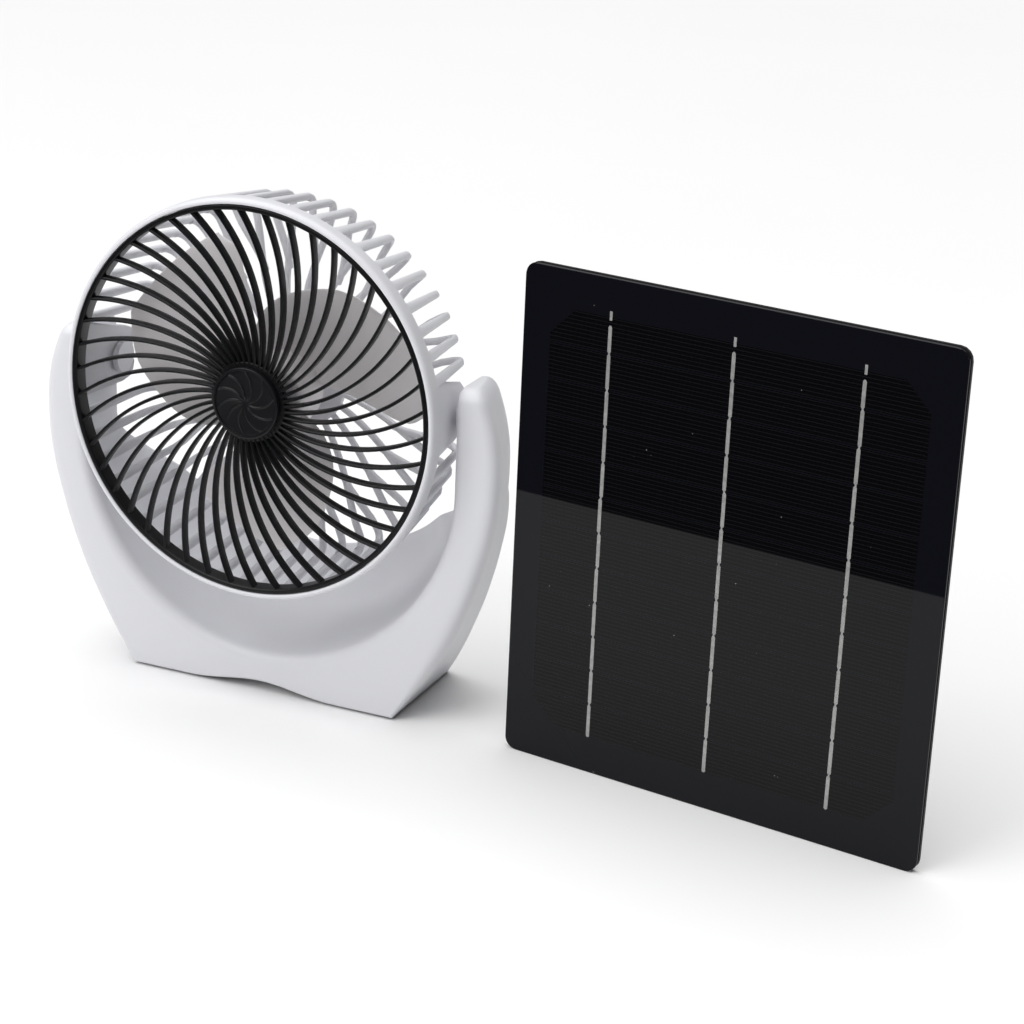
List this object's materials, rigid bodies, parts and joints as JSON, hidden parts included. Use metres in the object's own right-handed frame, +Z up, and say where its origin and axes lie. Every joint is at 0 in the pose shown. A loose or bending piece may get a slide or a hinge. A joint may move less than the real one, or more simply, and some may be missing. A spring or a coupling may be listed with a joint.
{
  "type": "solar table fan with panel",
  "caption": "Small white table fan with a tilting head, black swirl grille and U-shaped stand, with the flat black solar panel that powers it standing beside it.",
  "frame": {"origin": "centre of the bounding box's footprint, on the floor under the feet", "axes": "+Z up, -Y is the fan's front, +X to the fan viewer's right, where the panel stands"},
  "size_m": [0.3928, 0.0984, 0.2129],
  "materials": {
    "stand_white": "fine satin moulded plastic",
    "cage_white": "fine satin moulded plastic",
    "cover_grey": "light grey moulded plastic",
    "grille_black": "semi-gloss black plastic",
    "blade_grey": "light grey semi-gloss plastic",
    "motor_steel": "zinc-plated steel",
    "motor_black": "black plastic",
    "bushing_brass": "sintered bushing",
    "rotor_copper": "lacquered copper windings",
    "pin_white": "turned nylon",
    "washer_white": "nylon friction washer",
    "clip_steel": "plain steel",
    "screw_steel": "zinc-plated steel",
    "foot_rubber": "black rubber",
    "board_green": "green circuit board",
    "socket_steel": "stamped steel",
    "tongue_plastic": "moulded contact carrier",
    "lens_clear": "translucent light pipe",
    "button_white": "satin moulded plastic",
    "panel_sheet": "clear glossy film over black",
    "cell_black": "blue-black silicon",
    "ribbon_tin": "tinned copper ribbon",
    "board_black": "black laminate",
    "box_black": "textured black plastic"
  },
  "bodies": {
    "stand": {"base_shell": "stand_white", "bottom_cover": "cover_grey", "bottom_screw_1": "screw_steel", "bottom_screw_2": "screw_steel", "bottom_screw_3": "screw_steel", "bottom_screw_4": "screw_steel", "rubber_foot_1": "foot_rubber", "rubber_foot_2": "foot_rubber", "rubber_foot_3": "foot_rubber", "rubber_foot_4": "foot_rubber", "control_plate": "cover_grey", "control_board": "board_green", "speed_switch": "motor_black", "status_lens": "lens_clear", "inlet_shell": "socket_steel", "inlet_tongue": "tongue_plastic"},
    "head": {"rear_housing": "cage_white", "front_grille": "grille_black", "hub_cap": "grille_black", "motor_can": "motor_steel", "motor_end_cap": "motor_black", "motor_bushing": "bushing_brass", "motor_screw_1": "screw_steel", "motor_screw_2": "screw_steel", "tilt_pin_left": "pin_white", "tilt_pin_right": "pin_white", "tilt_washer_left": "washer_white", "tilt_washer_right": "washer_white", "tilt_clip_left": "clip_steel", "tilt_clip_right": "clip_steel"},
    "spinner": {"impeller": "blade_grey", "motor_shaft": "clip_steel", "motor_rotor": "rotor_copper", "impeller_cap": "blade_grey"},
    "button": {"speed_button": "button_white"},
    "panel": {"panel_cover": "panel_sheet", "cell_strip_01": "cell_black", "cell_strip_02": "cell_black", "cell_strip_03": "cell_black", "cell_strip_04": "cell_black", "cell_strip_05": "cell_black", "cell_strip_06": "cell_black", "cell_strip_07": "cell_black", "cell_strip_08": "cell_black", "cell_strip_09": "cell_black", "cell_strip_10": "cell_black", "cell_strip_11": "cell_black", "cell_strip_12": "cell_black", "ribbon_1": "ribbon_tin", "ribbon_2": "ribbon_tin", "ribbon_3": "ribbon_tin", "ribbon_tab_1": "ribbon_tin", "ribbon_tab_2": "ribbon_tin", "ribbon_tab_3": "ribbon_tin", "panel_board": "board_black", "junction_box": "box_black", "junction_lid": "box_black", "usb_shell": "socket_steel", "usb_tongue": "tongue_plastic", "regulator_board": "board_green"}
  },
  "joints": [
    {"name": "head_tilt", "type": "hinge", "parent": "stand", "child": "head", "pos_m": [-0.0934, -0.0042, 0.1304], "axis": [1, 0, 0], "range_deg": [-35, 15]},
    {"name": "impeller_spin", "type": "hinge", "parent": "head", "child": "spinner", "pos_m": [-0.0934, -0.0162, 0.1304], "axis": [0, 1, 0], "continuous": true},
    {"name": "speed_button_press", "type": "slide", "parent": "stand", "child": "button", "axis": [0, -1, 0], "range_m": [0, 0.0008], "stiffness_N_per_m": 900},
    {"name": "panel_lift", "type": "slide", "parent": "stand", "child": "panel", "axis": [0, 0, 1], "range_m": [0, 0.2]}
  ]
}
